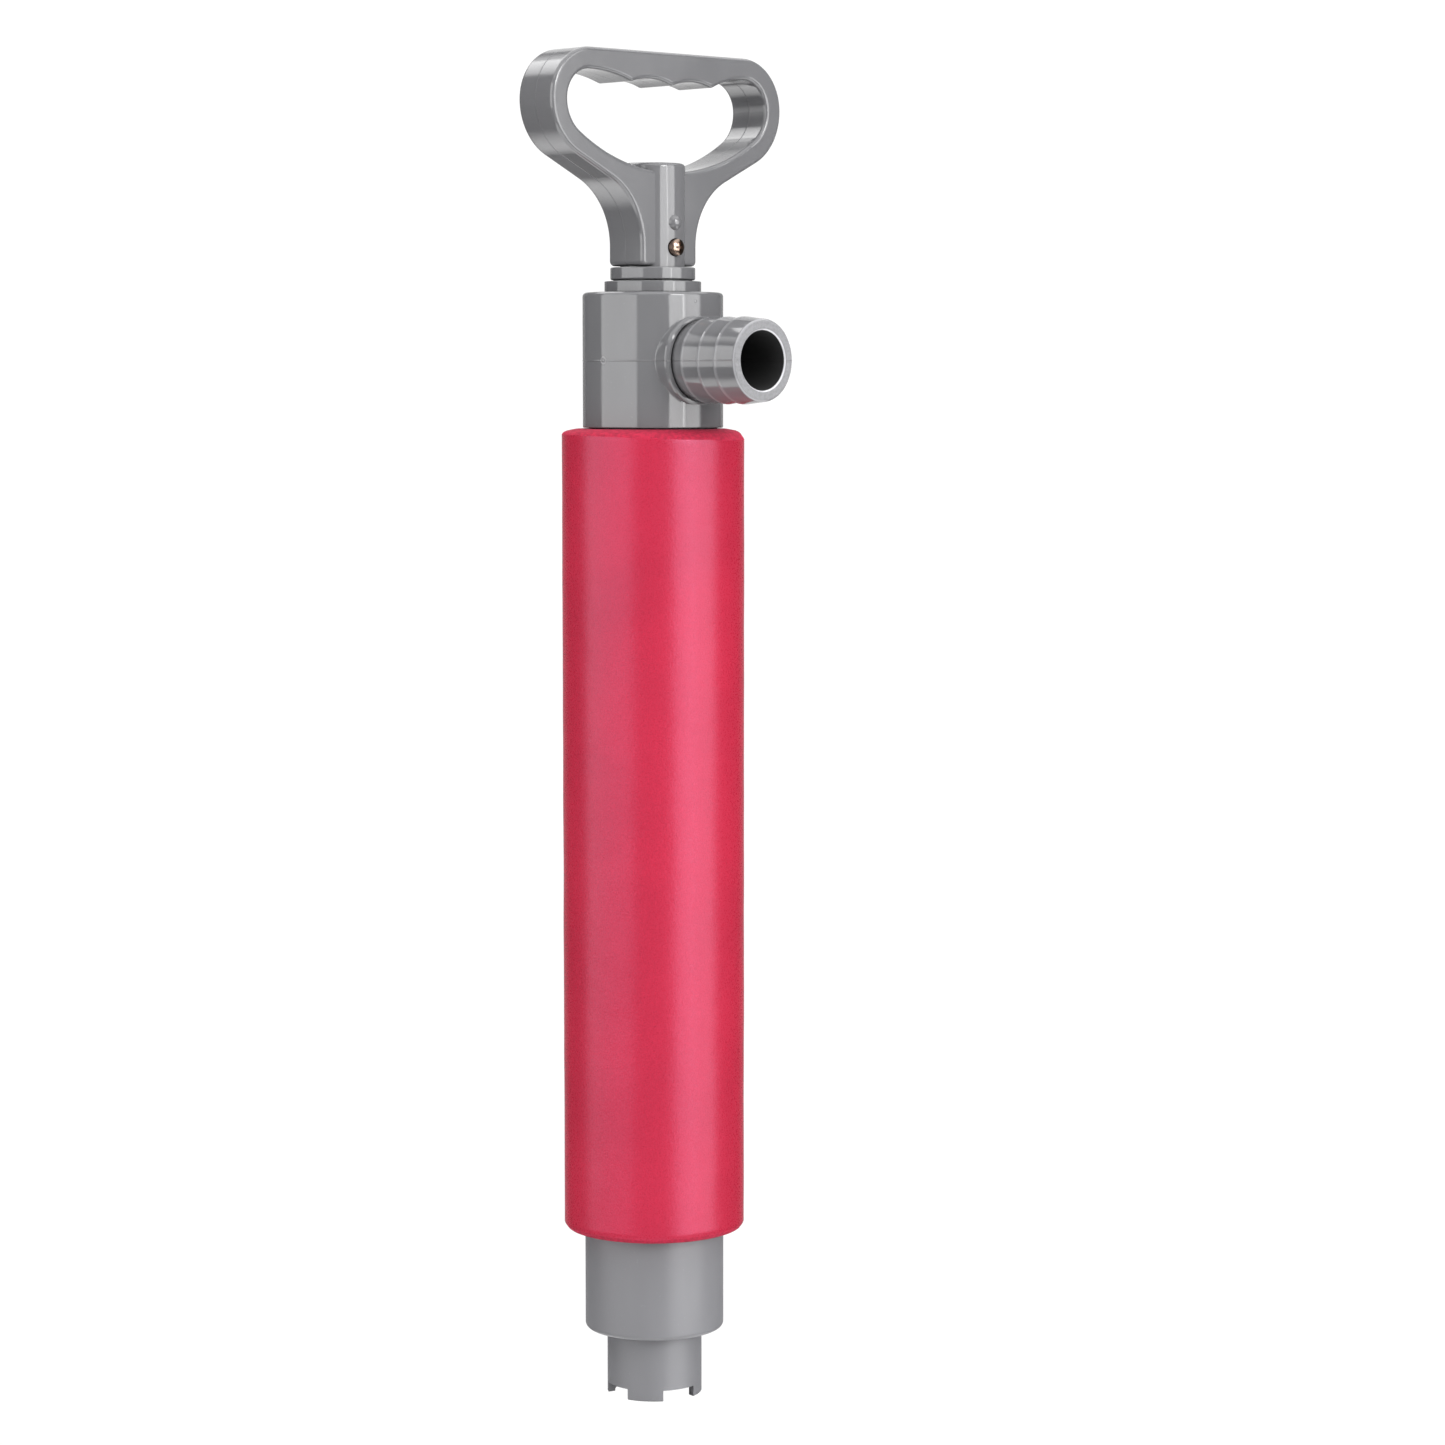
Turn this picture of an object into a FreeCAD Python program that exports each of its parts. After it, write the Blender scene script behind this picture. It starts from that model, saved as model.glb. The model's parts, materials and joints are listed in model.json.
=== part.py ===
"""Manual bilge pump: a foam-jacketed barrel with a barbed discharge head, and a D-handled plunger.

Millimetres. +Z runs up the barrel, -Y towards the discharge spout, and X along the handle's grip.
The origin is on the barrel's axis, in the plane of the inlet's teeth. The plunger is right down.
"""
import FreeCAD, Part
import math
import os

V = FreeCAD.Vector
UP = V(0, 0, 1)
OUT = V(0, -1, 0)

# Barrel: a length of 50 mm tube, socketed into a head and a foot of one diameter.
TUBE_R = 25.0
TUBE_WALL = 2.0
BORE_R = TUBE_R - TUBE_WALL
FITTING_R = 27.5
STROKE = 300.0

# Foot: an inlet nipple that ends in four teeth, under a cap that holds the foot valve.
NIPPLE_R = 18.8
NIPPLE_WALL = 3.0
TOOTH_HEIGHT = 4.3
NOTCH_WIDTH = 14.3
NOTCH_COUNT = 4
NOTCH_TURN = -9.7
CAP_BOTTOM = 26.4
CAP_FLOOR = CAP_BOTTOM + 3.6
FOOT_SHOULDER = CAP_FLOOR + 6.0
CAP_TOP = 66.9

# Discharge head and its barbed spout.
HEAD_BOTTOM = 384.0
HEAD_HEIGHT = 52.5
HEAD_TOP = HEAD_BOTTOM + HEAD_HEIGHT
HEAD_ROOF = 6.0
HEAD_SHOULDER = HEAD_BOTTOM + 13.1
GASKET = 1.5
SPOUT_Z = HEAD_BOTTOM + 26.0
SPOUT_BORE_R = 11.4
SPOUT_ROOT_R = 15.3
SPOUT_END_R = 15.8
SPOUT_LENGTH = 62.0
COLLAR_R = 18.0
COLLAR_LENGTH = 27.7
COLLAR_ROUND = 1.8
COLLAR_STEPS = 4
COLLAR_FILLET = 0.6
BARB_R = 16.75
BARB_VALLEY_R = 15.55
BARB_START = 33.1
BARB_PITCH = 9.1
BARB_LAND = 1.0
BARB_EDGE = 0.35
BARB_COUNT = 3
ROOT_GROOVE_WIDTH = 0.8
ROOT_GROOVE_DEPTH = 1.5
MOUTH_CHAMFER = 0.8
FLASH_HEIGHT = 0.08
FLASH_WIDTH = 0.35

# Foam jacket, from just above the cap to just below the head.
FOAM_R = 35.85
FOAM_BOTTOM = CAP_TOP + 0.2
FOAM_TOP = HEAD_BOTTOM - 0.4
FOAM_ROUND = 2.6

# Gland in the head's roof: a washer, a screwed nut, and a flanged bush with the rod seal in it.
WASHER_RIM_R = 17.2
GLAND_R = 15.0
GLAND_FLANGE_R = 18.9
GLAND_FLANGE_BOTTOM = HEAD_TOP + 0.3
GLAND_TOP = GLAND_FLANGE_BOTTOM + 4.0
GLAND_BOTTOM = HEAD_TOP - HEAD_ROOF - 2.5
BUSH_R = 13.0
BUSH_BOTTOM = GLAND_BOTTOM + 2.0
BUSH_NECK_R = 15.4
BUSH_FLANGE_R = 16.6
BUSH_FLANGE_BOTTOM = GLAND_TOP + 0.5
BUSH_TOP = BUSH_FLANGE_BOTTOM + 4.85
BUSH_CLEARANCE = 0.06
SEAL_GROOVE_R = 12.0
SEAL_GROOVE_BOTTOM = BUSH_BOTTOM + 4.0
SEAL_GROOVE_TOP = SEAL_GROOVE_BOTTOM + 3.0

# Handle: a flat D with finger scallops, and a round hub that takes the rod's top.
# Its own heights are counted up from its bottom.
HANDLE_BOTTOM = BUSH_TOP + 0.45
HANDLE_HEIGHT = 81.9
HANDLE_DEPTH = 20.0
HANDLE_ROUND = 1.5
NECK_HALF = 14.3
NECK_HEIGHT = 7.6
NECK_SWEEP_R = 28.4
NECK_CORNER_R = 2.0
SHOULDER_X = 37.2
SHOULDER_HEIGHT = 62.1
SHOULDER_R = 23.0
OPENING_X = 37.7
OPENING_HEIGHT = 62.0
OPENING_SADDLE_R = 82.3
OPENING_LOWER_R = 14.4
OPENING_UPPER_R = 11.6
CUSPS = ((-19.4, 69.8), (1.8, 69.1), (22.8, 69.3))
CUSP_ROUND = 3.0
SCALLOP_DEPTH = 2.0
HUB_R = 12.7
HUB_HEIGHT = 39.7
HUB_ROUND = 1.6
HUB_DROP = 0.4
SOCKET_DEPTH = 34.0
SCREW_X = 0.2
SCREW_Z = HANDLE_BOTTOM + 7.1
SCREW_SINK_R = 3.5
SCREW_SEAT_Y = -11.6
SCREW_HEAD_R = 3.2
SCREW_HEAD_RIM = 2.8
SCREW_HEAD_DOME = 1.1
SCREW_R = 1.75
SCREW_TIP_Y = -2.0
RECESS_LENGTH = 3.8
RECESS_WIDTH = 0.9
RECESS_DEPTH = 1.3
BUMP_X = 0.2
BUMP_HEIGHT = 16.7
BUMP_R = 3.0
BUMP_RISE = 2.0

# Piston on the rod's lower end, and its bolt.
PISTON_R = 22.5
PISTON_BOTTOM = 60.0
PISTON_TOP = PISTON_BOTTOM + 24.0
PISTON_POST_R = 6.0
PISTON_GROOVE_R = 18.3
PISTON_GROOVE_BOTTOM = PISTON_BOTTOM + 6.0
PISTON_GROOVE_TOP = PISTON_GROOVE_BOTTOM + 10.0
PORT_R = 4.0
PORT_CIRCLE_R = 12.5
PORT_COUNT = 6
SEAL_CLEARANCE = 0.05
SEAL_LIP = 0.7
WASHER_R = 12.0
WASHER_THICKNESS = 1.2
BOLT_R = 3.0
BOLT_HEAD_FLATS = 10.0
BOLT_HEAD_HEIGHT = 4.0

# Rubber valve discs: one lifts off the piston, the other off the foot valve's seat.
DISC_THICKNESS = 2.0
PISTON_DISC_R = 17.5
PISTON_DISC_HOLE_R = 6.3
PISTON_DISC_LIFT = 3.0
FOOT_DISC_R = 15.0
FOOT_DISC_HOLE_R = 2.9
FOOT_DISC_LIFT = 4.0
SEAT_THICKNESS = 4.0
SEAT_PORT_R = 3.5
SEAT_PORT_CIRCLE_R = 9.0
PIN_R = 2.5
PIN_TAIL_R = 4.5
PIN_TAIL_HEIGHT = 1.5
PIN_HEAD_R = 6.0
PIN_HEAD_HEIGHT = 2.0

# Plunger rod: a tube, plugged at both ends.
ROD_R = 10.0
ROD_INNER_R = 8.0
ROD_BOTTOM = PISTON_TOP + DISC_THICKNESS + PISTON_DISC_LIFT + WASHER_THICKNESS
ROD_TOP = HANDLE_BOTTOM + SOCKET_DEPTH - 0.5
TOP_PLUG_LENGTH = 36.0
BOTTOM_PLUG_TOP = ROD_BOTTOM + 26.0
BOLT_TOP = BOTTOM_PLUG_TOP - 2.0
STOP_RING_R = 13.0
STOP_RING_HEIGHT = 9.8
STOP_RING_TOP = GLAND_BOTTOM - STROKE - 0.2


def rod(radius, bottom, top):
    """Solid cylinder up the barrel's axis."""
    return Part.makeCylinder(radius, top - bottom, V(0, 0, bottom), UP)


def ring(outer, inner, bottom, top):
    """Tube up the barrel's axis."""
    return rod(outer, bottom, top).cut(rod(inner, bottom, top))


def turned(profile):
    """Solid of revolution about the barrel's axis, from a closed list of (radius, height)."""
    corners = [V(radius, 0, height) for radius, height in profile]
    face = Part.Face(Part.makePolygon(corners + corners[:1]))
    return face.revolve(V(0, 0, 0), UP, 360)


def edges_at(shape, height):
    """Edges that lie wholly at one height."""
    found = []
    for edge in shape.Edges:
        box = edge.BoundBox
        if abs(box.ZMin - height) < 1e-3 and abs(box.ZMax - height) < 1e-3:
            found.append(edge)
    return found


def round_rim(shape, radius, height, size):
    """Round the circular edge of one radius at one height."""
    rims = [edge for edge in edges_at(shape, height) if abs(edge.Curve.Radius - radius) < 1e-3]
    return shape.makeFillet(size, rims)


def around(shape, count, start=0.0):
    """Copies of a shape, evenly spaced about the barrel's axis."""
    copies = []
    for index in range(count):
        copy = shape.copy()
        copy.rotate(V(0, 0, 0), UP, start + index * 360.0 / count)
        copies.append(copy)
    return copies


def cut_all(shape, tools):
    for tool in tools:
        shape = shape.cut(tool)
    return shape


def arc(x, z, radius, start, end):
    """Arc in the handle's plane about (x, z), between two angles in degrees from +X."""
    points = []
    for angle in (start, (start + end) / 2, end):
        turn = math.radians(angle)
        points.append(V(x + radius * math.cos(turn), 0, z + radius * math.sin(turn)))
    return Part.Arc(*points).toShape()


def line(x1, z1, x2, z2):
    return Part.makeLine(V(x1, 0, z1), V(x2, 0, z2))


def mirrored(edges):
    """Edges with their mirror image in the plane X = 0."""
    return edges + [edge.mirror(V(0, 0, 0), V(1, 0, 0)) for edge in edges]


def closed(edges):
    return Part.Wire(Part.__sortEdges__(edges))


def slab(wire, depth):
    """Wire in the handle's plane, thickened evenly about that plane."""
    face = Part.Face(wire)
    face.translate(V(0, -depth / 2, 0))
    return face.extrude(V(0, depth, 0))


def handle_outline():
    """Outside of the D: flat top, round shoulders, and arms that sweep down into the neck."""
    sweep_x = NECK_HALF + NECK_SWEEP_R
    rise = SHOULDER_HEIGHT - NECK_HEIGHT
    lean = -math.degrees(math.atan2(rise, sweep_x - SHOULDER_X))
    reach = (SHOULDER_R + NECK_SWEEP_R) / math.hypot(sweep_x - SHOULDER_X, rise)
    tangent = lean + math.degrees(math.acos(reach))
    corner_r = HANDLE_HEIGHT - SHOULDER_HEIGHT
    corner_x = SHOULDER_X + SHOULDER_R - corner_r
    shoulder = arc(SHOULDER_X, SHOULDER_HEIGHT, SHOULDER_R, 0, tangent)
    sweep = arc(sweep_x, NECK_HEIGHT, NECK_SWEEP_R, tangent + 180, 180)
    foot_x = NECK_HALF - NECK_CORNER_R
    return closed(mirrored([
        line(0, HANDLE_HEIGHT, corner_x, HANDLE_HEIGHT),
        arc(corner_x, SHOULDER_HEIGHT, corner_r, 90, 0),
        shoulder,
        Part.makeLine(shoulder.Vertexes[-1].Point, sweep.Vertexes[0].Point),
        sweep,
        line(NECK_HALF, NECK_HEIGHT, NECK_HALF, NECK_CORNER_R),
        arc(foot_x, NECK_CORNER_R, NECK_CORNER_R, 0, -90),
        line(foot_x, 0, 0, 0),
    ]))


def end_scallop(side, top_x, top_z, cusp):
    """Arc from the opening's level top down to the cusp nearest that end."""
    run = abs(side * top_x - cusp[0])
    drop = top_z - cusp[1]
    radius = (run ** 2 + drop ** 2) / (2 * drop)
    turn = math.degrees(math.asin(run / radius))
    return arc(side * top_x, top_z - radius, radius, 90, 90 + side * turn)


def middle_scallop(left, right):
    """Shallow arc between two neighbouring cusps."""
    peak = V((left[0] + right[0]) / 2, 0, (left[1] + right[1]) / 2 + SCALLOP_DEPTH)
    return Part.Arc(V(left[0], 0, left[1]), peak, V(right[0], 0, right[1])).toShape()


def opening_outline():
    """Hand opening: a long saddle below, round ends, and four finger scallops under the grip."""
    rise = math.sqrt((OPENING_SADDLE_R - OPENING_LOWER_R) ** 2 - OPENING_X ** 2)
    join = -math.degrees(math.atan2(rise, OPENING_X))
    top_x = OPENING_X + OPENING_LOWER_R - OPENING_UPPER_R
    top_z = OPENING_HEIGHT + OPENING_UPPER_R
    ends = mirrored([
        arc(0, OPENING_HEIGHT + rise, OPENING_SADDLE_R, -90, join),
        arc(OPENING_X, OPENING_HEIGHT, OPENING_LOWER_R, join, 0),
        arc(top_x, OPENING_HEIGHT, OPENING_UPPER_R, 0, 90),
    ])
    return closed(ends + [
        end_scallop(-1, top_x, top_z, CUSPS[0]),
        middle_scallop(CUSPS[0], CUSPS[1]),
        middle_scallop(CUSPS[1], CUSPS[2]),
        end_scallop(1, top_x, top_z, CUSPS[2]),
    ])


def cusp_edges(shape):
    """Edges across the slab where two finger scallops meet."""
    found = []
    for edge in shape.Edges:
        middle = edge.CenterOfMass
        for x, z in CUSPS:
            if math.dist((middle.x, middle.y, middle.z), (x, 0, z)) < 1e-3:
                found.append(edge)
    return found


def face_edges(shape):
    """Edges round the front and back faces of the slab."""
    found = []
    for edge in shape.Edges:
        box = edge.BoundBox
        if box.YLength < 1e-3 and abs(abs(box.YMin) - HANDLE_DEPTH / 2) < 1e-3:
            found.append(edge)
    return found


def screw_shank():
    depth = SCREW_TIP_Y - SCREW_SEAT_Y
    return Part.makeCylinder(SCREW_R, depth, V(SCREW_X, SCREW_TIP_Y, SCREW_Z), OUT)


def handle_screw_hole():
    """Sunk hole through the hub's front wall, the rod and its plug."""
    sink = Part.makeCylinder(SCREW_SINK_R, HUB_R, V(SCREW_X, SCREW_SEAT_Y, SCREW_Z), OUT)
    return sink.fuse(screw_shank())


def handle_bump():
    """Low moulded dome above the screw."""
    dome_r = (BUMP_R ** 2 + BUMP_RISE ** 2) / (2 * BUMP_RISE)
    return Part.makeSphere(dome_r, V(BUMP_X, dome_r - HUB_R - BUMP_RISE, BUMP_HEIGHT))


def handle():
    body = slab(handle_outline(), HANDLE_DEPTH).cut(slab(opening_outline(), HANDLE_DEPTH))
    body = body.makeFillet(CUSP_ROUND, cusp_edges(body))
    body = body.makeFillet(HANDLE_ROUND, face_edges(body))
    hub = round_rim(rod(HUB_R, -HUB_DROP, HUB_HEIGHT), HUB_R, HUB_HEIGHT, HUB_ROUND)
    body = body.fuse([hub, handle_bump()]).cut(rod(ROD_R, -HUB_DROP, SOCKET_DEPTH))
    body.translate(UP * HANDLE_BOTTOM)
    return body.cut(handle_screw_hole())


def handle_screw():
    """Brass pan-head screw with a cross recess, lying along -Y."""
    dome_r = (SCREW_HEAD_R ** 2 + SCREW_HEAD_DOME ** 2) / (2 * SCREW_HEAD_DOME)
    head_height = SCREW_HEAD_DOME + SCREW_HEAD_RIM
    seat = V(SCREW_X, SCREW_SEAT_Y, SCREW_Z)
    head = Part.makeSphere(dome_r, seat + OUT * (head_height - dome_r))
    head = head.common(Part.makeCylinder(SCREW_HEAD_R, dome_r, seat, OUT))
    screw = head.fuse(screw_shank())
    top = SCREW_SEAT_Y - head_height
    sizes = ((RECESS_LENGTH, RECESS_WIDTH), (RECESS_WIDTH, RECESS_LENGTH))
    for width, height in sizes:
        corner = V(SCREW_X - width / 2, top - 1, SCREW_Z - height / 2)
        screw = screw.cut(Part.makeBox(width, RECESS_DEPTH + 1, height, corner))
    return screw


def pump_rod():
    return ring(ROD_R, ROD_INNER_R, ROD_BOTTOM, ROD_TOP).cut(handle_screw_hole())


def rod_top_plug():
    plug = rod(ROD_INNER_R, ROD_TOP - TOP_PLUG_LENGTH, ROD_TOP)
    return plug.cut(handle_screw_hole())


def rod_bottom_plug():
    return rod(ROD_INNER_R, ROD_BOTTOM, BOTTOM_PLUG_TOP).cut(rod(BOLT_R, ROD_BOTTOM, BOLT_TOP))


def rod_stop_ring():
    """Soft ring that meets the gland at the top of the stroke."""
    stop = ring(STOP_RING_R, ROD_R, STOP_RING_TOP - STOP_RING_HEIGHT, STOP_RING_TOP)
    return round_rim(stop, STOP_RING_R, STOP_RING_TOP, 1.0)


def piston_body():
    """Ported piston with a seal groove, and a post that guides the valve disc."""
    body = rod(PISTON_R, PISTON_BOTTOM, PISTON_TOP)
    body = body.fuse(rod(PISTON_POST_R, PISTON_TOP, ROD_BOTTOM - WASHER_THICKNESS))
    port = Part.makeCylinder(PORT_R, PISTON_TOP, V(PORT_CIRCLE_R, 0, 0), UP)
    groove = ring(PISTON_R + 1, PISTON_GROOVE_R, PISTON_GROOVE_BOTTOM, PISTON_GROOVE_TOP)
    tools = around(port, PORT_COUNT) + [groove, rod(BOLT_R, PISTON_BOTTOM, ROD_BOTTOM)]
    return cut_all(body, tools)


def piston_seal():
    """Lip seal: a ring with a V groove in its upper face."""
    inner = PISTON_GROOVE_R + SEAL_CLEARANCE
    outer = BORE_R - SEAL_CLEARANCE
    bottom = PISTON_GROOVE_BOTTOM + 2 * SEAL_CLEARANCE
    top = PISTON_GROOVE_TOP - 2 * SEAL_CLEARANCE
    middle = (inner + outer) / 2
    root = (bottom + top) / 2
    return turned([
        (inner, bottom), (outer, bottom), (outer, top), (outer - SEAL_LIP, top),
        (middle, root), (inner + SEAL_LIP, top), (inner, top),
    ])


def piston_washer():
    return ring(WASHER_R, BOLT_R, ROD_BOTTOM - WASHER_THICKNESS, ROD_BOTTOM)


def piston_bolt():
    """Hexagon-headed bolt up through the piston into the rod's lower plug."""
    corner_r = BOLT_HEAD_FLATS / math.sqrt(3)
    bottom = PISTON_BOTTOM - BOLT_HEAD_HEIGHT
    corners = []
    for index in range(6):
        turn = math.radians(60 * index)
        corners.append(V(corner_r * math.cos(turn), corner_r * math.sin(turn), bottom))
    face = Part.Face(Part.makePolygon(corners + corners[:1]))
    head = face.extrude(UP * BOLT_HEAD_HEIGHT)
    return head.fuse(rod(BOLT_R, PISTON_BOTTOM, BOLT_TOP))


def piston_valve_disc():
    bottom = PISTON_TOP
    return ring(PISTON_DISC_R, PISTON_DISC_HOLE_R, bottom, bottom + DISC_THICKNESS)


def foot_valve_seat():
    """Ported plate on the cap's floor."""
    plate = rod(BORE_R, CAP_FLOOR, CAP_FLOOR + SEAT_THICKNESS)
    port = Part.makeCylinder(SEAT_PORT_R, CAP_TOP, V(SEAT_PORT_CIRCLE_R, 0, 0), UP)
    pin_hole = rod(PIN_R, CAP_FLOOR, CAP_TOP).fuse(
        rod(PIN_TAIL_R, CAP_FLOOR, CAP_FLOOR + PIN_TAIL_HEIGHT))
    return cut_all(plate, around(port, PORT_COUNT) + [pin_hole])


def foot_valve_disc():
    bottom = CAP_FLOOR + SEAT_THICKNESS
    return ring(FOOT_DISC_R, FOOT_DISC_HOLE_R, bottom, bottom + DISC_THICKNESS)


def foot_valve_pin():
    """Headed pin that guides the foot valve's disc and stops its lift."""
    stop = CAP_FLOOR + SEAT_THICKNESS + DISC_THICKNESS + FOOT_DISC_LIFT
    tail = rod(PIN_TAIL_R, CAP_FLOOR, CAP_FLOOR + PIN_TAIL_HEIGHT)
    head = rod(PIN_HEAD_R, stop, stop + PIN_HEAD_HEIGHT)
    return tail.fuse([rod(PIN_R, CAP_FLOOR, stop), head])


def foot_cap():
    """Inlet nipple with teeth, the cap above it, and the socket for the barrel tube."""
    nipple_bore = NIPPLE_R - NIPPLE_WALL
    body = turned([
        (nipple_bore, 0), (NIPPLE_R, 0), (NIPPLE_R, CAP_BOTTOM), (FITTING_R, CAP_BOTTOM),
        (FITTING_R, CAP_TOP), (TUBE_R, CAP_TOP), (TUBE_R, FOOT_SHOULDER),
        (BORE_R, FOOT_SHOULDER), (BORE_R, CAP_FLOOR), (nipple_bore, CAP_FLOOR),
    ])
    body = round_rim(body, FITTING_R, CAP_BOTTOM, 2.0)
    body = round_rim(body, NIPPLE_R, CAP_BOTTOM, 0.8)
    body = round_rim(body, FITTING_R, CAP_TOP, 0.4)
    body = round_rim(body, NIPPLE_R, 0, 0.4)
    notch = Part.makeBox(NOTCH_WIDTH, 2 * NIPPLE_R, TOOTH_HEIGHT, V(-NOTCH_WIDTH / 2, 0, 0))
    return cut_all(body, around(notch, NOTCH_COUNT, NOTCH_TURN))


def spout_profile(proud):
    """Outside of the spout as (radius, distance from the barrel's axis), from root to end."""
    groove_r = SPOUT_ROOT_R + ROOT_GROOVE_WIDTH
    points = [(COLLAR_R + proud, 0)]
    for step in range(COLLAR_STEPS + 1):
        angle = math.radians(90 * step / COLLAR_STEPS)
        radius = groove_r + (COLLAR_R + proud - groove_r) * math.cos(angle)
        points.append((radius, COLLAR_LENGTH - COLLAR_ROUND * (1 - math.sin(angle))))
    points += [
        (groove_r, COLLAR_LENGTH - ROOT_GROOVE_DEPTH),
        (SPOUT_ROOT_R + proud, COLLAR_LENGTH - ROOT_GROOVE_DEPTH),
        (SPOUT_ROOT_R + proud, BARB_START),
    ]
    for index in range(BARB_COUNT):
        start = BARB_START + index * BARB_PITCH
        points.append((BARB_R + proud - BARB_EDGE, start))
        points.append((BARB_R + proud, start + BARB_EDGE))
        points.append((BARB_R + proud, start + BARB_LAND))
        if index < BARB_COUNT - 1:
            points.append((BARB_VALLEY_R + proud, start + BARB_PITCH))
    points.append((SPOUT_END_R + proud, SPOUT_LENGTH - MOUTH_CHAMFER))
    points.append((SPOUT_END_R - MOUTH_CHAMFER, SPOUT_LENGTH))
    return points


def spout():
    """Barbed hose tail along -Y, with its moulding flash along both sides."""
    corners = [V(radius, -length, SPOUT_Z) for radius, length in spout_profile(0)]
    closing = [V(0, -SPOUT_LENGTH, SPOUT_Z), V(0, 0, SPOUT_Z)]
    face = Part.Face(Part.makePolygon(corners + closing + corners[:1]))
    tail = face.revolve(V(0, 0, SPOUT_Z), OUT, 360)
    flash_z = SPOUT_Z - FLASH_WIDTH / 2
    right = [V(radius, -length, flash_z) for radius, length in spout_profile(FLASH_HEIGHT)]
    left = [V(-corner.x, corner.y, flash_z) for corner in reversed(right)]
    fin = Part.Face(Part.makePolygon(right + left + right[:1])).extrude(UP * FLASH_WIDTH)
    return tail.fuse(fin)


def discharge_head():
    """Tee: tube socket below, gland hole above, spout to the front."""
    collar = Part.makeCylinder(COLLAR_R, COLLAR_LENGTH - COLLAR_ROUND, V(0, 0, SPOUT_Z), OUT)
    body = rod(FITTING_R, HEAD_BOTTOM, HEAD_TOP).fuse(collar)
    root = [edge for edge in body.Edges if edge.Curve.TypeId == "Part::GeomBSplineCurve"]
    body = body.makeFillet(COLLAR_FILLET, root)
    body = round_rim(body, FITTING_R, HEAD_TOP, 1.6)
    body = round_rim(body, FITTING_R, HEAD_BOTTOM, 0.5)
    flash_z = SPOUT_Z - FLASH_WIDTH / 2
    body = body.fuse([
        rod(FITTING_R + FLASH_HEIGHT, flash_z, flash_z + FLASH_WIDTH),
        spout(),
    ])
    mouth = V(0, MOUTH_CHAMFER - SPOUT_LENGTH, SPOUT_Z)
    mouth_r = SPOUT_BORE_R + MOUTH_CHAMFER
    mouth_chamfer = Part.makeCone(SPOUT_BORE_R, mouth_r, MOUTH_CHAMFER, mouth, OUT)
    return cut_all(body, [
        rod(TUBE_R, HEAD_BOTTOM, HEAD_SHOULDER),
        rod(BORE_R, HEAD_SHOULDER, HEAD_TOP - HEAD_ROOF),
        rod(GLAND_R, HEAD_SHOULDER, HEAD_TOP),
        Part.makeCylinder(SPOUT_BORE_R, SPOUT_LENGTH, V(0, 0, SPOUT_Z), OUT),
        mouth_chamfer,
    ])


def gland_nut():
    nut = rod(GLAND_FLANGE_R, GLAND_FLANGE_BOTTOM, GLAND_TOP)
    nut = round_rim(nut, GLAND_FLANGE_R, GLAND_TOP, 0.4)
    nut = nut.fuse(rod(GLAND_R, GLAND_BOTTOM, GLAND_FLANGE_BOTTOM))
    return cut_all(nut, [
        rod(BUSH_R, BUSH_BOTTOM, GLAND_TOP),
        rod(ROD_R + 0.8, GLAND_BOTTOM, BUSH_BOTTOM),
    ])


def rod_bushing():
    bush = rod(BUSH_FLANGE_R, BUSH_FLANGE_BOTTOM, BUSH_TOP)
    bush = round_rim(bush, BUSH_FLANGE_R, BUSH_TOP, 0.5)
    bush = round_rim(bush, BUSH_FLANGE_R, BUSH_FLANGE_BOTTOM, 0.7)
    bush = bush.fuse([
        rod(BUSH_NECK_R, GLAND_TOP, BUSH_FLANGE_BOTTOM),
        rod(BUSH_R, BUSH_BOTTOM, GLAND_TOP),
    ])
    return cut_all(bush, [
        rod(ROD_R + BUSH_CLEARANCE, BUSH_BOTTOM, BUSH_TOP),
        rod(SEAL_GROOVE_R, SEAL_GROOVE_BOTTOM, SEAL_GROOVE_TOP),
    ])


def rod_seal():
    inner = ROD_R + 0.04
    return ring(SEAL_GROOVE_R - 0.05, inner, SEAL_GROOVE_BOTTOM + 0.05, SEAL_GROOVE_TOP - 0.05)


def foam_float():
    sleeve = ring(FOAM_R, TUBE_R, FOAM_BOTTOM, FOAM_TOP)
    sleeve = round_rim(sleeve, FOAM_R, FOAM_BOTTOM, FOAM_ROUND)
    return round_rim(sleeve, FOAM_R, FOAM_TOP, FOAM_ROUND)


PIECES = {
    "handle": handle(),
    "handle_screw": handle_screw(),
    "pump_rod": pump_rod(),
    "rod_top_plug": rod_top_plug(),
    "rod_bottom_plug": rod_bottom_plug(),
    "rod_stop_ring": rod_stop_ring(),
    "piston_body": piston_body(),
    "piston_seal": piston_seal(),
    "piston_washer": piston_washer(),
    "piston_bolt": piston_bolt(),
    "piston_valve_disc": piston_valve_disc(),
    "foot_valve_seat": foot_valve_seat(),
    "foot_valve_disc": foot_valve_disc(),
    "foot_valve_pin": foot_valve_pin(),
    "foot_cap": foot_cap(),
    "foot_gasket": ring(TUBE_R, BORE_R, FOOT_SHOULDER, FOOT_SHOULDER + GASKET),
    "barrel_tube": ring(TUBE_R, BORE_R, FOOT_SHOULDER + GASKET, HEAD_SHOULDER - GASKET),
    "head_gasket": ring(TUBE_R, BORE_R, HEAD_SHOULDER - GASKET, HEAD_SHOULDER),
    "discharge_head": discharge_head(),
    "gland_washer": ring(WASHER_RIM_R, GLAND_R, HEAD_TOP, GLAND_FLANGE_BOTTOM),
    "gland_nut": gland_nut(),
    "rod_bushing": rod_bushing(),
    "rod_seal": rod_seal(),
    "foam_float": foam_float(),
}

os.makedirs("parts", exist_ok=True)
for name, shape in PIECES.items():
    solids = shape.removeSplitter().Solids
    print(name, len(solids), "solid", round(sum(solid.Volume for solid in solids)), "mm3")
    solids[0].exportStep("parts/" + name + ".step")
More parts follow.
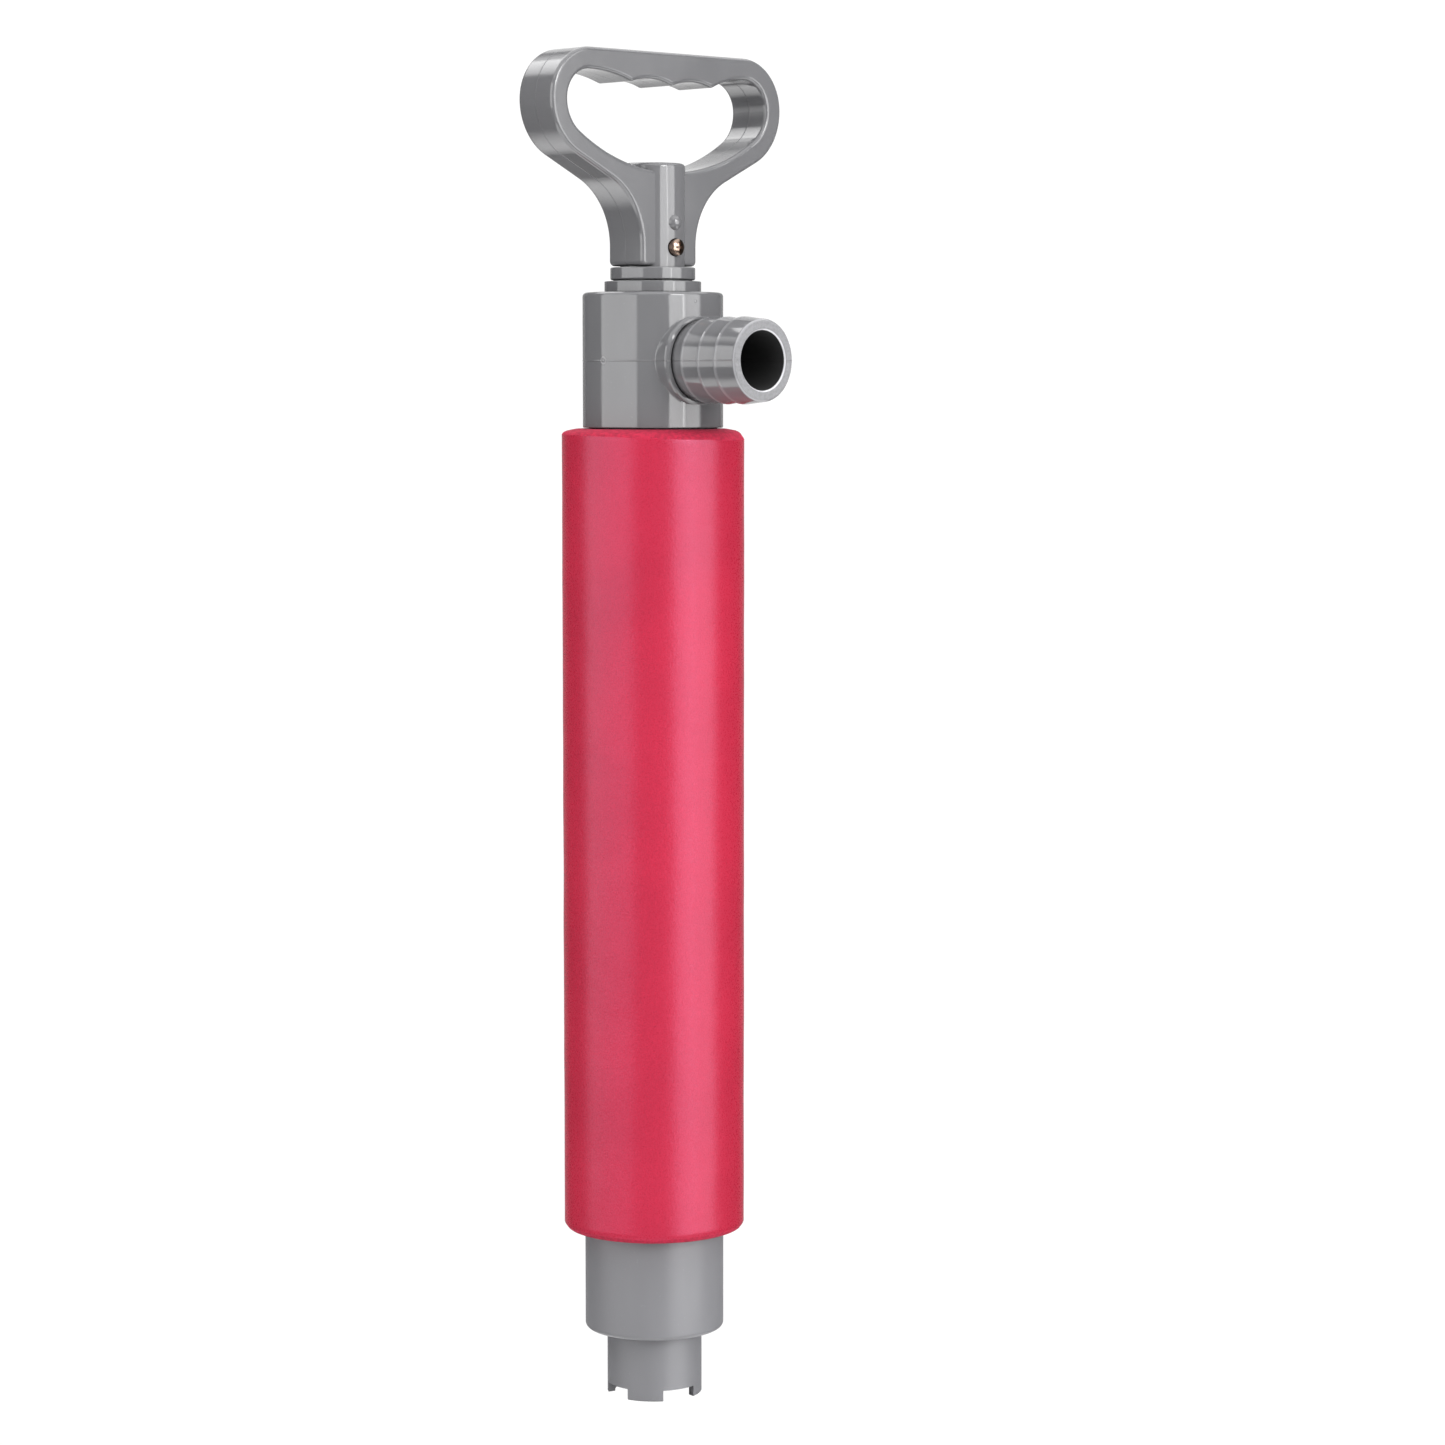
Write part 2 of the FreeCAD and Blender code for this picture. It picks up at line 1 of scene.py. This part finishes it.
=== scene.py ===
"""Looks of the manual bilge pump: materials, the foam jacket, studio light and camera.

Metres, in the CAD model's frame: +Z up the barrel, -Y along the spout, X along the grip.
"""
import json
import math

import bpy
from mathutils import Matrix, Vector, noise


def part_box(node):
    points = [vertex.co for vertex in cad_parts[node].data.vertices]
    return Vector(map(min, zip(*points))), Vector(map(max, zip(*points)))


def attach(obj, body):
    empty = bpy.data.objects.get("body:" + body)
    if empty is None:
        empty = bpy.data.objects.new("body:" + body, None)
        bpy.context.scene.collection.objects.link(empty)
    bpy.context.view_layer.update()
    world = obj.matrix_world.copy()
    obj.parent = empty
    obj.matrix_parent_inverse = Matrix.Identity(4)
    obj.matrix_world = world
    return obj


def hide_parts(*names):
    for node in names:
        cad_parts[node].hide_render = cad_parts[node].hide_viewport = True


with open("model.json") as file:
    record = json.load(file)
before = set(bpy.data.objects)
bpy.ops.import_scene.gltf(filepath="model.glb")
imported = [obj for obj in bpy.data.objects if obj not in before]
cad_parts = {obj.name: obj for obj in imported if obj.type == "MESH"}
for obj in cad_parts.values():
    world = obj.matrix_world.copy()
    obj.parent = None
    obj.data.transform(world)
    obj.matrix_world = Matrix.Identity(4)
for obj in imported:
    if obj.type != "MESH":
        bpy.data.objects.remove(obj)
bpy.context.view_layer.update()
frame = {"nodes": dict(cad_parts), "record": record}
NODES = frame["nodes"]
MM = 0.001

# Camera: where it stands about the barrel's axis, in metres, and how it is aimed, in degrees.
CAMERA_DISTANCE = 1.496
CAMERA_HEIGHT = 0.404
CAMERA_AZIMUTH = 42.62
CAMERA_PAN = 1.041
CAMERA_PITCH = 5.191
CAMERA_LENS = 94.95
SENSOR_WIDTH = 36.0
CLIP_START = 0.05
CLIP_END = 60.0

# Studio, in degrees about the pump: bearing 0 is the camera's side, positive to the camera's right.
# A source without a bearing goes all round.
AMBIENT = 0.05
WHITE = 1.05
FLOOR_REACH = 12.0
FLOOR_COLOUR = (0.55, 0.55, 0.55, 1.0)
SOURCES = (
    # On the left, one wide soft box. In front, a dim wall.
    {"bearing": (-93, -26), "height": (-13, 29), "light": 2.9, "soft": 2.0},
    {"bearing": (-24, 26), "height": (-30, 40), "light": 0.30, "soft": 4.0},
    # On the right, a low box, a strong high one, a bright tube in the low one, and a wide box beyond them.
    {"bearing": (26, 55), "height": (-20, 10), "light": 4.9, "soft": 1.2},
    {"bearing": (30, 55), "height": (12, 34), "light": 12.0, "soft": 2.0},
    {"bearing": (50, 52), "height": (-20, 10), "light": 6.0, "soft": 0.6},
    {"bearing": (55, 83), "height": (-20, 29), "light": 4.4, "soft": 4.0},
    # Overhead light, a high box behind on the left, and light off the ground.
    {"height": (38, 91), "light": 1.8, "soft": 5.0},
    {"bearing": (-146, -108), "height": (34, 80), "light": 2.6, "soft": 3.0},
    {"height": (-91, -38), "light": 2.4, "soft": 6.0},
    # Backdrop: bright in the middle and dim at both sides.
    {"bearing": (147, 168), "height": (-30, 60), "light": 0.25, "soft": 2.5},
    {"bearing": (168, 192), "height": (-30, 60), "light": 0.9, "soft": 2.5},
    {"bearing": (192, 213), "height": (-30, 60), "light": 0.25, "soft": 2.5},
)


# ---------------------------------------------------------------- node helpers

def new_tree(owner):
    owner.use_nodes = True
    tree = owner.node_tree
    tree.nodes.clear()
    return tree


def add(tree, kind, inputs=None, **settings):
    """Node of one kind, with its properties and its inputs set by name or number."""
    node = tree.nodes.new(kind)
    for name, value in settings.items():
        setattr(node, name, value)
    for name, value in (inputs or {}).items():
        if isinstance(value, bpy.types.NodeSocket):
            tree.links.new(value, node.inputs[name])
        else:
            node.inputs[name].default_value = value
    return node


def math_node(tree, operation, first, second=0.0):
    return add(tree, "ShaderNodeMath", {0: first, 1: second}, operation=operation).outputs[0]


def ramp(tree, value, low, high, start=0.0, end=1.0):
    """Smooth step of a value from one level to another."""
    inputs = {"Value": value, "From Min": low, "From Max": high, "To Min": start, "To Max": end}
    return add(tree, "ShaderNodeMapRange", inputs, interpolation_type="SMOOTHSTEP").outputs[0]


def noise_node(tree, place, scale, detail=2.0, roughness=0.5, stretch=None):
    """Noise in the object's own space, drawn out along the axes whose stretch is small."""
    if stretch:
        place = add(tree, "ShaderNodeMapping", {"Vector": place, "Scale": stretch}).outputs[0]
    inputs = {"Vector": place, "Scale": scale, "Detail": detail, "Roughness": roughness}
    return add(tree, "ShaderNodeTexNoise", inputs).outputs["Fac"]


def blend_colour(tree, share, first, second):
    """First colour going over to the second as the share goes from 0 to 1."""
    node = add(tree, "ShaderNodeMix", {"Factor": share}, data_type="RGBA")
    for socket, colour in ((node.inputs[6], first), (node.inputs[7], second)):
        if isinstance(colour, bpy.types.NodeSocket):
            tree.links.new(colour, socket)
        else:
            socket.default_value = (*colour, 1.0)
    return node.outputs[2]


def object_place(tree):
    return add(tree, "ShaderNodeTexCoord").outputs["Object"]


def openness_node(tree):
    """Share of the sky that a place sees close by: 1 in the open, low in a crevice."""
    inputs = {"Distance": CREVICE_REACH}
    return add(tree, "ShaderNodeAmbientOcclusion", inputs, samples=CREVICE_SAMPLES).outputs["AO"]


def bump_chain(tree, layers):
    """Bump layers of (height, strength, distance), one upon another."""
    normal = None
    for height, strength, distance in layers:
        inputs = {"Height": height, "Strength": strength, "Distance": distance}
        if normal:
            inputs["Normal"] = normal
        normal = add(tree, "ShaderNodeBump", inputs).outputs[0]
    return normal


def finish_material(tree, inputs):
    shader = add(tree, "ShaderNodeBsdfPrincipled", inputs)
    add(tree, "ShaderNodeOutputMaterial", {"Surface": shader.outputs[0]})


def shade(factor, colour):
    """Colour made lighter or darker."""
    return tuple(factor * channel for channel in colour)


# ---------------------------------------------------------------- materials

GREY = (0.135, 0.135, 0.141)
SATIN_GREY = (0.172, 0.172, 0.182)
GLOSS = 0.06

# Crevices are rougher than the open surface, and painted shade darkens their colour.
CREVICE_REACH = 1.6 * MM
CREVICE_SAMPLES = 6
CREVICE_PAINTED_SHADE = 0.08
CREVICE_ROUGHNESS = 0.9

# Marks of the moulds, by their places in the CAD model. A seam has a half width where it is at its full
# height, and one where it ends. A ring has an inner and an outer radius.
MARK_RISE = 0.16 * MM
HANDLE_SEAM = (0.08 * MM, 0.28 * MM)
HANDLE_SEAM_FOOT = 446 * MM
HEAD_SEAM = (0.05 * MM, 0.30 * MM)
SPOUT_LEVEL = 410.0 * MM
GATE_MARK = (-27.46 * MM, -1.44 * MM, SPOUT_LEVEL)
PIP = (-2.87 * MM, -27.35 * MM, 432.8 * MM)
GATE_RING = (1.1 * MM, 1.5 * MM)
DOT = (0, 0.4 * MM)

# Spout: the radii of its bore and of its barbs' ridges, and a place between its collar and its barbs.
SPOUT_BORE = 11.4 * MM
RIDGE = 16.75 * MM
PAST_COLLAR = 30.0 * MM

# Painted shade darkens its dull bore; its end face is dull; painted highlights lighten rim, ridges and marks.
BORE_PAINTED_SHADE = 0.10
BORE_ROUGHNESS = 0.85
END_ROUGHNESS = 0.40
PAINTED_HIGHLIGHT_TONE = 4.5
PAINTED_GLINT_SHARE = 0.14


def seam_line(tree, place, above):
    """Height of a thin mould seam in the plane Y = 0, over one level only."""
    spot = add(tree, "ShaderNodeSeparateXYZ", {0: place})
    aside = math_node(tree, "ABSOLUTE", spot.outputs[1])
    line = ramp(tree, aside, *HANDLE_SEAM, 1.0, 0.0)
    return math_node(tree, "MULTIPLY", line, math_node(tree, "GREATER_THAN", spot.outputs[2], above))


def belt_line(tree, place, level):
    """Height of a thin mould seam all round, at one level."""
    spot = add(tree, "ShaderNodeSeparateXYZ", {0: place})
    away = math_node(tree, "ABSOLUTE", math_node(tree, "SUBTRACT", spot.outputs[2], level))
    return ramp(tree, away, *HEAD_SEAM, 1.0, 0.0)


def raised_ring(tree, place, centre, inner, outer):
    """Height of a small moulded ring, or of a pip when the inner radius is nothing."""
    away = add(tree, "ShaderNodeVectorMath", {0: place, 1: centre}, operation="DISTANCE").outputs["Value"]
    fall = ramp(tree, away, outer, outer + 0.2 * MM, 1.0, 0.0)
    if not inner:
        return fall
    return math_node(tree, "MULTIPLY", fall, ramp(tree, away, inner - 0.2 * MM, inner))


def spout_wear(tree, place):
    """Shares of painted shade in the bore, of the trimmed end face, and of painted highlights on rim, ridges
    and marks.
    """
    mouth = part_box("discharge_head")[0].y
    spot = add(tree, "ShaderNodeSeparateXYZ", {0: place})
    rise = math_node(tree, "SUBTRACT", spot.outputs[2], SPOUT_LEVEL)
    square_rise = math_node(tree, "MULTIPLY", rise, rise)
    square_aside = math_node(tree, "MULTIPLY", spot.outputs[0], spot.outputs[0])
    radius = math_node(tree, "SQRT", math_node(tree, "ADD", square_rise, square_aside))
    # Painted shade: the bore's mask, for a darker colour inside it.
    inside = ramp(tree, radius, SPOUT_BORE + 0.02 * MM, SPOUT_BORE + 0.08 * MM, 1.0, 0.0)
    spout_side = math_node(tree, "LESS_THAN", spot.outputs[1], 0.0)
    bore = math_node(tree, "MULTIPLY", inside, spout_side)
    end = ramp(tree, spot.outputs[1], mouth + 0.05 * MM, mouth + 0.35 * MM, 1.0, 0.0)
    trimmed = ramp(tree, spot.outputs[1], mouth + 0.60 * MM, mouth + 0.75 * MM, 1.0, 0.0)
    rim = math_node(tree, "SUBTRACT", trimmed, end)
    # Painted highlight on the rim's chamfer, strongest next to the bore.
    inner_rim = ramp(tree, radius, SPOUT_BORE + 1.2 * MM, RIDGE - 2 * MM, 1.0, 0.3)
    chamfer = math_node(tree, "MULTIPLY", rim, inner_rim)
    # Painted glints on the barbs' ridges and on the mould marks.
    on_barbs = math_node(tree, "LESS_THAN", spot.outputs[1], -PAST_COLLAR)
    crest = ramp(tree, radius, RIDGE - 0.15 * MM, RIDGE - 0.02 * MM)
    ridge = math_node(tree, "MULTIPLY", on_barbs, crest)
    gate = raised_ring(tree, place, GATE_MARK, *GATE_RING)
    spots = math_node(tree, "MAXIMUM", gate, raised_ring(tree, place, PIP, *DOT))
    painted_glints = math_node(tree, "MULTIPLY", math_node(tree, "MAXIMUM", ridge, spots), PAINTED_GLINT_SHARE)
    pale = math_node(tree, "MAXIMUM", chamfer, painted_glints)
    return bore, end, pale


def moulded_plastic(name, colour, gloss, ripple, grain, ior=1.6, marks=(), wear=None):
    """Moulded plastic: flow marks, orange peel, fine grain, and rougher crevices darkened by painted shade.

    Marks are raised shapes with their sizes. The trim and light masks give the shares of painted shade in a
    bore, of a trimmed end face, and of painted highlights on edges and marks.
    """
    material = bpy.data.materials.new(name)
    tree = new_tree(material)
    place = object_place(tree)
    flow = noise_node(tree, place, scale=28, detail=3, stretch=(1, 1, 0.35))
    specks = noise_node(tree, place, scale=900, detail=1)
    smear = noise_node(tree, place, scale=60, detail=4, roughness=0.65)
    peel = noise_node(tree, place, scale=190, detail=1)
    fine = noise_node(tree, place, scale=2600, detail=2)
    mottled = blend_colour(tree, ramp(tree, flow, 0.35, 0.65), shade(0.94, colour), shade(1.05, colour))
    speck_share = ramp(tree, specks, 0.70, 0.80, 0.0, 0.35)
    base = blend_colour(tree, speck_share, mottled, shade(1.25, colour))
    rough = ramp(tree, smear, 0.35, 0.70, gloss, gloss + 0.07)
    layers = [(peel, ripple, 0.4 * MM), (fine, grain, 0.05 * MM)]
    layers += [(shape(tree, place, *sizes), 1.0, MARK_RISE) for shape, *sizes in marks]
    normal = bump_chain(tree, layers)
    openness = openness_node(tree)
    rough = math_node(tree, "MAXIMUM", rough, ramp(tree, openness, 0.15, 0.55, CREVICE_ROUGHNESS, 0.0))
    if wear:
        bore, end, pale = wear(tree, place)
        trimmed = blend_colour(tree, specks, shade(1.1, colour), shade(1.9, colour))
        base = blend_colour(tree, end, base, trimmed)
        # Painted highlights lighten the rim, ridges and mould marks.
        base = blend_colour(tree, pale, base, shade(PAINTED_HIGHLIGHT_TONE, colour))
        # Painted shade darkens the bore.
        base = blend_colour(tree, bore, base, shade(BORE_PAINTED_SHADE, colour))
        rough = math_node(tree, "MAXIMUM", rough, math_node(tree, "MULTIPLY", end, END_ROUGHNESS))
        rough = math_node(tree, "MAXIMUM", rough, math_node(tree, "MULTIPLY", bore, BORE_ROUGHNESS))
    # Painted shade: the colour darkens where a place sees little of the sky close by.
    with_painted_shade = blend_colour(tree, ramp(tree, openness, 0.2, 0.6), shade(CREVICE_PAINTED_SHADE, colour), base)
    finish_material(tree, {"Base Color": with_painted_shade, "Roughness": rough, "Normal": normal, "IOR": ior})
    return material


FOAM_CREVICE_PAINTED_SHADE = 0.12
FOAM_CUT_ROUGHNESS = 0.9
FOAM_IOR = 1.47
FOAM_SPECULAR_TINT = (1.0, 0.62, 0.95, 1.0)


def foam_skin(name, colour):
    """Closed-cell foam: satin skin with fine cells and soft dents, torn and matte where it was cut, with
    painted shade in cells and crevices.
    """
    material = bpy.data.materials.new(name)
    tree = new_tree(material)
    place = object_place(tree)
    cloud = noise_node(tree, place, scale=22, detail=4)
    grain = noise_node(tree, place, scale=1500, detail=2, roughness=0.6)
    cells = add(tree, "ShaderNodeTexVoronoi", {"Vector": place, "Scale": 1300.0}).outputs["Distance"]
    dents = noise_node(tree, place, scale=55, detail=3)
    base = blend_colour(tree, ramp(tree, cloud, 0.3, 0.7), shade(0.93, colour), shade(1.05, colour))
    # Painted shade in the hollows of the cells.
    painted_pore_shade = ramp(tree, cells, 0.05, 0.45, 0.25, 0.0)
    coloured = blend_colour(tree, painted_pore_shade, base, shade(0.55, colour))
    facing = add(tree, "ShaderNodeNewGeometry").outputs["True Normal"]
    lean = math_node(tree, "ABSOLUTE", add(tree, "ShaderNodeSeparateXYZ", {0: facing}).outputs[2])
    cut = ramp(tree, lean, 0.12, 0.30)
    torn = noise_node(tree, place, scale=700, detail=3, roughness=0.7)
    ragged = blend_colour(tree, ramp(tree, torn, 0.35, 0.65), shade(0.72, colour), shade(1.12, colour))
    coloured = blend_colour(tree, cut, coloured, ragged)
    # Painted shade: darker where the foam sees little sky close by, as at its contact with the head.
    open_share = ramp(tree, openness_node(tree), 0.1, 0.6)
    coloured = blend_colour(tree, open_share, shade(FOAM_CREVICE_PAINTED_SHADE, colour), coloured)
    skin_rough = ramp(tree, grain, 0.3, 0.7, 0.25, 0.35)
    cut_rough = math_node(tree, "MULTIPLY", cut, FOAM_CUT_ROUGHNESS)
    rough = math_node(tree, "MAXIMUM", skin_rough, cut_rough)
    normal = bump_chain(tree, [(dents, 0.25, 0.6 * MM), (cells, 0.25, 0.1 * MM), (grain, 0.35, 0.12 * MM)])
    finish_material(tree, {
        "Base Color": coloured, "Roughness": rough, "Normal": normal, "IOR": FOAM_IOR,
        "Specular Tint": FOAM_SPECULAR_TINT,
    })
    return material


def rubber(name, colour):
    """Matte rubber with a fine grain, and pale dust in patches."""
    material = bpy.data.materials.new(name)
    tree = new_tree(material)
    place = object_place(tree)
    dust = noise_node(tree, place, scale=120, detail=4)
    grain = noise_node(tree, place, scale=2200, detail=2)
    base = blend_colour(tree, ramp(tree, dust, 0.4, 0.75), colour, shade(1.9, colour))
    rough = ramp(tree, dust, 0.3, 0.7, 0.55, 0.72)
    normal = bump_chain(tree, [(grain, 0.35, 0.08 * MM)])
    finish_material(tree, {"Base Color": base, "Roughness": rough, "Normal": normal, "IOR": 1.5})
    return material


def metal(name, colour, roughness, stretch):
    """Turned or drawn metal: tool marks drawn out by the stretch, and faint tarnish."""
    material = bpy.data.materials.new(name)
    tree = new_tree(material)
    place = object_place(tree)
    marks = noise_node(tree, place, scale=900, detail=3, stretch=stretch)
    tarnish = noise_node(tree, place, scale=350, detail=4)
    base = blend_colour(tree, ramp(tree, tarnish, 0.4, 0.75), colour, shade(0.72, colour))
    rough = ramp(tree, marks, 0.3, 0.7, roughness, roughness + 0.12)
    normal = bump_chain(tree, [(marks, 0.3, 0.04 * MM)])
    finish_material(tree, {"Base Color": base, "Roughness": rough, "Normal": normal, "Metallic": 1.0})
    return material


def gloss_abs(name, **extras):
    return moulded_plastic(name, GREY, GLOSS, ripple=0.04, grain=0.03, **extras)


HANDLE_MARKS = ((seam_line, HANDLE_SEAM_FOOT),)
HEAD_MARKS = (
    (belt_line, SPOUT_LEVEL),
    (raised_ring, GATE_MARK, *GATE_RING),
    (raised_ring, GATE_MARK, *DOT),
    (raised_ring, PIP, *DOT),
)

# By the record's slots, and by node for the two mouldings that carry marks.
MATERIALS = {
    "grey_gloss": gloss_abs("grey_gloss_abs"),
    "handle": gloss_abs("grey_handle_abs", marks=HANDLE_MARKS),
    "discharge_head": gloss_abs("grey_head_abs", marks=HEAD_MARKS, wear=spout_wear),
    "grey_satin": moulded_plastic("grey_satin_pvc", SATIN_GREY, 0.36, ripple=0.05, grain=0.12, ior=1.45),
    "foam": foam_skin("crimson_foam", (0.39, 0.016, 0.041)),
    "brass": metal("dull_brass", (0.34, 0.25, 0.20), roughness=0.12, stretch=(1, 0.2, 1)),
    "rod_plastic": moulded_plastic("pale_pvc_tube", (0.33, 0.33, 0.335), 0.22, ripple=0.03, grain=0.05),
    "tube_plastic": moulded_plastic("grey_pvc_tube", (0.30, 0.30, 0.31), 0.25, ripple=0.03, grain=0.08),
    "dark_plastic": moulded_plastic("black_acetal", (0.030, 0.030, 0.033), 0.35, ripple=0.04, grain=0.15),
    "black_rubber": rubber("nitrile_rubber", (0.022, 0.022, 0.022)),
    "steel": metal("stainless_steel", (0.62, 0.62, 0.61), roughness=0.24, stretch=(1, 1, 0.1)),
}


def paint_nodes():
    """Give each CAD node its own material, or else that of its slot in the record."""
    for part in frame["record"]["subparts"]:
        material = MATERIALS.get(part["node"], MATERIALS[part["material_slot"]])
        for slot in NODES[part["node"]].material_slots:
            slot.material = material


# ---------------------------------------------------------------- foam jacket

FOAM_TURNS = 288
FOAM_ROWS = 150
CREASE = 0.2 * MM
FOAM_SWELL = 0.10 * MM
SWELL_ALLOWANCE = 0.15 * MM

# Bevels: how deep they are cut, and their width as a share of the depth. The top one leans, and its crown
# falls away from the bore to the bevel.
TOP_CUT = 2.0 * MM
TOP_CUT_LEAN = 1.1 * MM
TOP_CUT_FACES = math.radians(317)
TOP_CUT_WIDTH = 0.7
CROWN_FALL = 1.3 * MM
BOTTOM_CUT = 1.9 * MM
BOTTOM_CUT_WIDTH = 0.75


def wobble(angle, seed, reach):
    """Smooth random value round the jacket, the same every run."""
    point = Vector((math.cos(angle), math.sin(angle), seed))
    return reach * noise.noise(point * 1.3) + 0.5 * reach * noise.noise(point * 3.1)


def foam_profile(angle, radius, bore, bottom, top):
    """Outline of the jacket's wall at one bearing, from the bore's foot out and up to its top.

    Both ends were trimmed by hand, so the bevels wander, and the top one is deeper on one side.
    """
    lean = TOP_CUT_LEAN * math.cos(angle - TOP_CUT_FACES)
    drop = TOP_CUT + lean + wobble(angle, seed=4.0, reach=0.3 * MM)
    inset = TOP_CUT_WIDTH * drop + wobble(angle, seed=9.0, reach=0.2 * MM)
    low_drop = BOTTOM_CUT + wobble(angle, seed=15.0, reach=0.5 * MM)
    low_inset = BOTTOM_CUT_WIDTH * low_drop
    edge = top - CROWN_FALL + wobble(angle, seed=22.0, reach=0.2 * MM)
    side_low = bottom + low_drop
    side_high = edge - drop
    points = [
        (bore, bottom + 0.1 * MM),
        (radius - low_inset - 1 * MM, bottom),
        (radius - low_inset, bottom + 0.12 * MM),
        (radius - low_inset * 0.72, bottom + low_drop * 0.2),
        (radius - low_inset * 0.12, side_low - low_drop * 0.2),
        (radius - 0.05 * MM, side_low - CREASE * 0.5),
    ]
    for row in range(FOAM_ROWS + 1):
        share = row / FOAM_ROWS
        points.append((radius, side_low + share * (side_high - side_low)))
    points += [
        (radius - 0.06 * MM, side_high + CREASE),
        (radius - inset * 0.3, side_high + drop * 0.4),
        (radius - inset * 0.68, side_high + drop * 0.8),
        (radius - inset, edge - 0.02 * MM),
        (radius - inset - 1.2 * MM, edge + 0.4 * CROWN_FALL),
        (radius - inset - 3 * MM, top - 0.25 * CROWN_FALL),
        (radius - inset - 4.8 * MM, top),
        (bore, top),
    ]
    return points


def foam_jacket():
    """Foam sleeve as one closed mesh, with a low swell all over its outside."""
    low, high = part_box("foam_float")
    radius = high.x - SWELL_ALLOWANCE
    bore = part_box("barrel_tube")[1].x
    points = []
    for turn in range(FOAM_TURNS):
        angle = 2 * math.pi * turn / FOAM_TURNS
        outward = Vector((math.cos(angle), math.sin(angle), 0))
        for reach, height in foam_profile(angle, radius, bore, low.z, high.z):
            spot = Vector((math.cos(angle) * reach, math.sin(angle) * reach, height))
            if reach > bore + 1 * MM:
                spot += outward * (FOAM_SWELL * (noise.noise(spot * 30) + 0.5 * noise.noise(spot * 90)))
            points.append(spot)
    count = len(points) // FOAM_TURNS
    faces = []
    for turn in range(FOAM_TURNS):
        here = turn * count
        there = (turn + 1) % FOAM_TURNS * count
        for row in range(count):
            after = (row + 1) % count
            faces.append((here + row, there + row, there + after, here + after))
    mesh = bpy.data.meshes.new("foam_jacket")
    mesh.from_pydata(points, [], faces)
    mesh.shade_smooth()
    jacket = bpy.data.objects.new("foam_jacket", mesh)
    bpy.context.scene.collection.objects.link(jacket)
    mesh.materials.append(MATERIALS["foam"])
    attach(jacket, "barrel")
    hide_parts("foam_float")


# ---------------------------------------------------------------- studio

def unless_camera(tree, lit, seen):
    """One shader for light, and another for what the camera sees directly."""
    rays = add(tree, "ShaderNodeLightPath").outputs["Is Camera Ray"]
    return add(tree, "ShaderNodeMixShader", {0: rays, 1: lit.outputs[0], 2: seen.outputs[0]}).outputs[0]


def studio_floor():
    """Floor that the camera sees as plain white, and that lights the pump softly from below."""
    far = FLOOR_REACH
    mesh = bpy.data.meshes.new("studio_floor")
    mesh.from_pydata([(-far, -far, 0), (far, -far, 0), (far, far, 0), (-far, far, 0)], [], [(0, 1, 2, 3)])
    floor = bpy.data.objects.new("studio_floor", mesh)
    bpy.context.scene.collection.objects.link(floor)
    material = bpy.data.materials.new("pale_floor")
    tree = new_tree(material)
    matte = add(tree, "ShaderNodeBsdfDiffuse", {"Color": FLOOR_COLOUR})
    white = add(tree, "ShaderNodeEmission", {"Color": (1, 1, 1, 1), "Strength": WHITE})
    add(tree, "ShaderNodeOutputMaterial", {"Surface": unless_camera(tree, matte, white)})
    mesh.materials.append(material)
    floor.visible_glossy = False


def studio_world():
    """White to the camera. To everything else, a dim studio with soft boxes and a lit backdrop."""
    world = bpy.data.worlds.new("studio")
    bpy.context.scene.world = world
    tree = new_tree(world)
    way = add(tree, "ShaderNodeTexCoord").outputs["Generated"]
    facing = math.radians(270 - CAMERA_AZIMUTH)
    toward = (math.cos(facing), math.sin(facing), 0)
    right = (-math.sin(facing), math.cos(facing), 0)
    ahead = add(tree, "ShaderNodeVectorMath", {0: way, 1: toward}, operation="DOT_PRODUCT").outputs["Value"]
    aside = add(tree, "ShaderNodeVectorMath", {0: way, 1: right}, operation="DOT_PRODUCT").outputs["Value"]
    up = add(tree, "ShaderNodeSeparateXYZ", {0: way}).outputs[2]
    bearing = math_node(tree, "DEGREES", math_node(tree, "ARCTAN2", aside, ahead))
    height = math_node(tree, "DEGREES", math_node(tree, "ARCSINE", up))

    def between(value, low, high, soft):
        rise = ramp(tree, value, low - soft, low + soft)
        fall = ramp(tree, value, high - soft, high + soft, 1.0, 0.0)
        return math_node(tree, "MULTIPLY", rise, fall)

    total = None
    for source in SOURCES:
        patch = between(height, *source["height"], source["soft"])
        if "bearing" in source:
            low, high = source["bearing"]
            turned = bearing
            if high > 180:
                turned = math_node(tree, "MODULO", math_node(tree, "ADD", bearing, 360.0), 360.0)
            patch = math_node(tree, "MULTIPLY", patch, between(turned, low, high, source["soft"]))
        patch = math_node(tree, "MULTIPLY", patch, source["light"])
        total = patch if total is None else math_node(tree, "ADD", total, patch)
    total = math_node(tree, "ADD", total, AMBIENT)
    studio = add(tree, "ShaderNodeBackground", {"Color": (1, 1, 1, 1), "Strength": total})
    white = add(tree, "ShaderNodeBackground", {"Color": (1, 1, 1, 1), "Strength": WHITE})
    add(tree, "ShaderNodeOutputWorld", {"Surface": unless_camera(tree, studio, white)})


def camera():
    data = bpy.data.cameras.new("camera")
    data.lens = CAMERA_LENS
    data.sensor_width = SENSOR_WIDTH
    data.clip_start = CLIP_START
    data.clip_end = CLIP_END
    eye = bpy.data.objects.new("camera", data)
    azimuth = math.radians(CAMERA_AZIMUTH)
    eye.location = (-CAMERA_DISTANCE * math.sin(azimuth), -CAMERA_DISTANCE * math.cos(azimuth), CAMERA_HEIGHT)
    eye.rotation_euler = (math.radians(90 - CAMERA_PITCH), 0, math.radians(-CAMERA_AZIMUTH - CAMERA_PAN))
    bpy.context.scene.collection.objects.link(eye)
    bpy.context.scene.camera = eye


camera()
studio_world()
studio_floor()
paint_nodes()
foam_jacket()
bpy.context.scene.view_settings.view_transform = "Standard"
